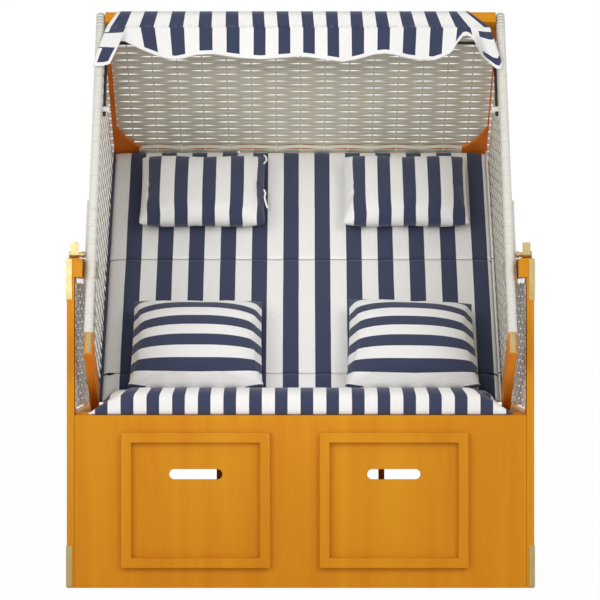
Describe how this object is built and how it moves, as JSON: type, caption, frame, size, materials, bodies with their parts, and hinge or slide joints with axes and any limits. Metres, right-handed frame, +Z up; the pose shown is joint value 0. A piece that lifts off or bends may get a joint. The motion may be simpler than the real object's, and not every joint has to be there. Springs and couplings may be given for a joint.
{
  "type": "hooded beach chair",
  "caption": "Hooded beach chair in wood and white wicker: reclining roofed hood, striped cushions and pillows, pull-out footrests and a small folding awning.",
  "frame": {"origin": "middle of the front panel's underside, on the floor", "axes": "+X to the right as seen from the front, +Y to the back, +Z up"},
  "size_m": [1.18, 1.1516, 1.4916],
  "materials": {
    "wood": "honey-orange oiled, vertical grain",
    "wicker": "white-grey woven flat strand",
    "brass": "light brass, satin",
    "striped_fabric": "navy and white stripes",
    "black_metal": "satin black",
    "white_plastic": "satin white"
  },
  "bodies": {
    "base": {"front_panel": "wood", "seat_deck": "wood", "rear_frame": "wood", "runner_left": "wood", "runner_right": "wood", "runner_middle": "wood", "seat_cushion": "striped_fabric", "side_frame_left": "wood", "side_frame_right": "wood", "arm_left": "wood", "arm_right": "wood", "side_skin_left": "wicker", "side_skin_right": "wicker", "seat_rail_left": "wood", "seat_rail_right": "wood", "corner_plate_upper_left": "brass", "corner_plate_upper_right": "brass", "corner_plate_lower_left": "brass", "corner_plate_lower_right": "brass", "pivot_hook_left": "brass", "pivot_hook_right": "brass", "recline_rack_left": "wood", "recline_rack_right": "wood"},
    "footrest_left": {"footrest_frame_left": "wood", "footrest_board_left": "wood", "footrest_box_left": "wood"},
    "footrest_right": {"footrest_frame_right": "wood", "footrest_board_right": "wood", "footrest_box_right": "wood"},
    "hood": {"roof_panel": "wicker", "roof_front_rail": "wood", "roof_frame": "wood", "back_frame": "wood", "back_panel": "wicker", "back_cushion": "striped_fabric", "awning_cloth": "striped_fabric", "front_edge_left": "wicker", "front_edge_right": "wicker", "hood_side_left": "wicker", "hood_side_right": "wicker", "bottom_bar_left": "wood", "bottom_bar_right": "wood", "bar_end_plate_left": "brass", "bar_end_plate_right": "brass", "pivot_plate_left": "brass", "pivot_plate_right": "brass", "pivot_bolt_left": "brass", "pivot_bolt_right": "brass", "latch_guide_left": "brass", "latch_guide_right": "brass", "head_pillow_left": "striped_fabric", "head_pillow_right": "striped_fabric"},
    "latch_left": {"latch_bolt_left": "brass"},
    "latch_right": {"latch_bolt_right": "brass"},
    "awning_bow": {"awning_bow": "black_metal", "bow_knob_left": "white_plastic", "bow_knob_right": "white_plastic"},
    "low_pillows": {"low_pillow_left": "striped_fabric", "low_pillow_right": "striped_fabric"}
  },
  "joints": [
    {"name": "footrest_left_slide", "type": "slide", "parent": "base", "child": "footrest_left", "axis": [0, -1, 0], "range_m": [0, 0.4]},
    {"name": "footrest_right_slide", "type": "slide", "parent": "base", "child": "footrest_right", "axis": [0, -1, 0], "range_m": [0, 0.4]},
    {"name": "hood_recline", "type": "hinge", "parent": "base", "child": "hood", "pos_m": [0, 0.0655, 0.84], "axis": [1, 0, 0], "range_deg": [0, 31]},
    {"name": "latch_left_slide", "type": "slide", "parent": "hood", "child": "latch_left", "axis": [-1, 0, 0], "range_m": [0, 0.01]},
    {"name": "latch_right_slide", "type": "slide", "parent": "hood", "child": "latch_right", "axis": [1, 0, 0], "range_m": [0, 0.01]},
    {"name": "awning_bow_hinge", "type": "hinge", "parent": "hood", "child": "awning_bow", "pos_m": [0, 0.3307, 1.2231], "axis": [1, 0, 0], "range_deg": [0, 40], "deforming": ["awning_cloth"]},
    {"name": "low_pillows_lean", "type": "hinge", "parent": "base", "child": "low_pillows", "pos_m": [0, 0.2434, 0.4938], "axis": [1, 0, 0], "range_deg": [0, 13]}
  ],
  "couplings": [
    {"joint": "low_pillows_lean", "follows": "hood_recline", "ratio": 0.4}
  ]
}
